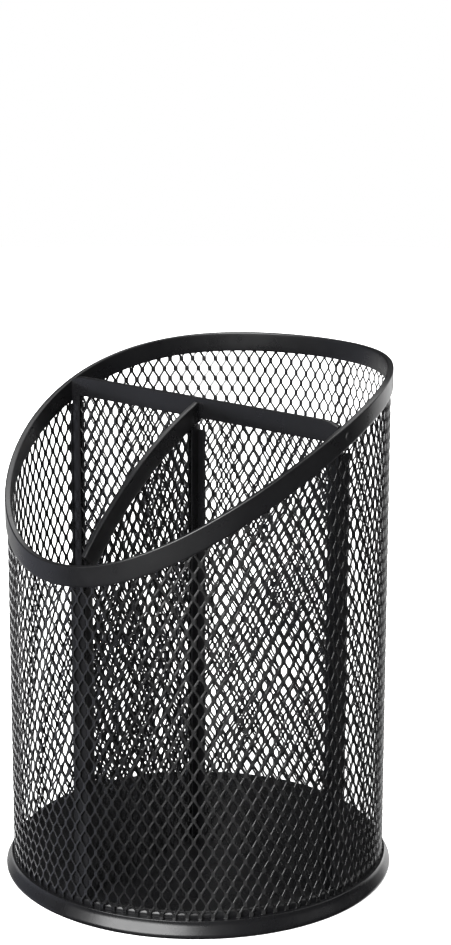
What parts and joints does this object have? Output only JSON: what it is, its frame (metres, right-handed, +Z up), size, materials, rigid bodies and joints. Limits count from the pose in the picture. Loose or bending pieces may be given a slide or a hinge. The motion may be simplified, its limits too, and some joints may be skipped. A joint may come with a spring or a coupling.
{
  "type": "pen stand",
  "caption": "Round black wire-mesh pen stand with a sloping rim, a flared steel base and three upright compartments for pens and scissors.",
  "frame": {"origin": "middle of the foot ring's underside, on the cup's axis", "axes": "+Z up along the cup's axis; the rim is lowest at -Y and highest at +Y; the cross panel runs along X"},
  "size_m": [0.1041, 0.1042, 0.1377],
  "materials": {
    "mesh_black": "satin black powder coat on expanded steel mesh",
    "strip_black": "satin black powder coat on folded steel strip",
    "pan_black": "satin black powder coat on pressed steel"
  },
  "bodies": {
    "root": {"wall_mesh": "mesh_black", "rim_channel": "strip_black", "base_pan": "pan_black", "cross_panel_mesh": "mesh_black", "cross_panel_top_channel": "strip_black", "cross_panel_left_stile": "strip_black", "cross_panel_right_stile": "strip_black", "half_panel_mesh": "mesh_black", "half_panel_top_channel": "strip_black", "half_panel_wall_stile": "strip_black", "half_panel_inner_stile": "strip_black"}
  },
  "joints": []
}
